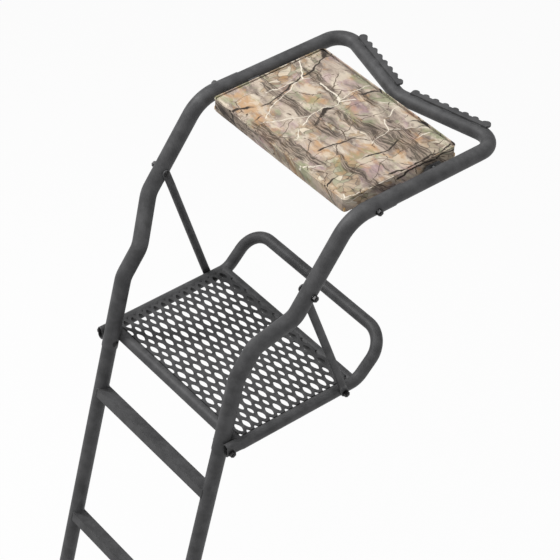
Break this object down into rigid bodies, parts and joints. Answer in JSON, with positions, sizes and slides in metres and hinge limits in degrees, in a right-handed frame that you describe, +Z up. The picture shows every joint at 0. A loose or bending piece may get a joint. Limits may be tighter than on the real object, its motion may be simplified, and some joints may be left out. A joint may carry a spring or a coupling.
{
  "type": "ladder tree stand",
  "caption": "Seat and platform top of a leaning ladder tree stand, with a flip-up cushioned seat, a mesh foot platform, side braces and toothed blades that rest on the tree.",
  "frame": {"origin": "the point of the tree notch, where the two lines of blade teeth meet, at the height of the seat rails' centrelines", "axes": "+X across the stand, to the right of someone who faces the tree; +Y towards the tree; +Z up, with the platform level"},
  "size_m": [0.591, 1.1146, 1.8836],
  "materials": {
    "coat": "dark grey powder coat, satin",
    "fastener": "black coated steel fasteners",
    "pin_steel": "zinc plated steel",
    "plywood": "plain plywood under the cushion's fabric",
    "cushion": null
  },
  "bodies": {
    "frame": {"right_upright_rail": "coat", "left_upright_rail": "coat", "right_ladder_rail": "coat", "left_ladder_rail": "coat", "ladder_rung_1": "coat", "ladder_rung_2": "coat", "ladder_rung_3": "coat", "ladder_rung_4": "coat", "seat_frame": "coat", "right_tree_blade": "coat", "left_tree_blade": "coat", "seat_support_strap": "coat", "platform_frame": "coat", "platform_front_tube": "coat", "platform_rear_tube": "coat", "platform_mesh": "coat", "right_platform_brace": "coat", "left_platform_brace": "coat", "seat_joint_bolts": "fastener", "brace_top_bolts": "fastener", "brace_foot_bolts": "fastener", "ladder_joint_bolts": "fastener", "lock_nuts": "fastener", "joint_washers": "fastener", "seat_pivot_pins": "pin_steel"},
    "seat": {"seat_pan": "coat", "seat_board": "plywood", "seat_cushion": "cushion", "seat_screws": "pin_steel"}
  },
  "joints": [
    {"name": "seat_flip", "type": "hinge", "parent": "frame", "child": "seat", "pos_m": [0, -0.126, -0.004], "axis": [-1, 0, 0], "range_deg": [0, 100]}
  ]
}
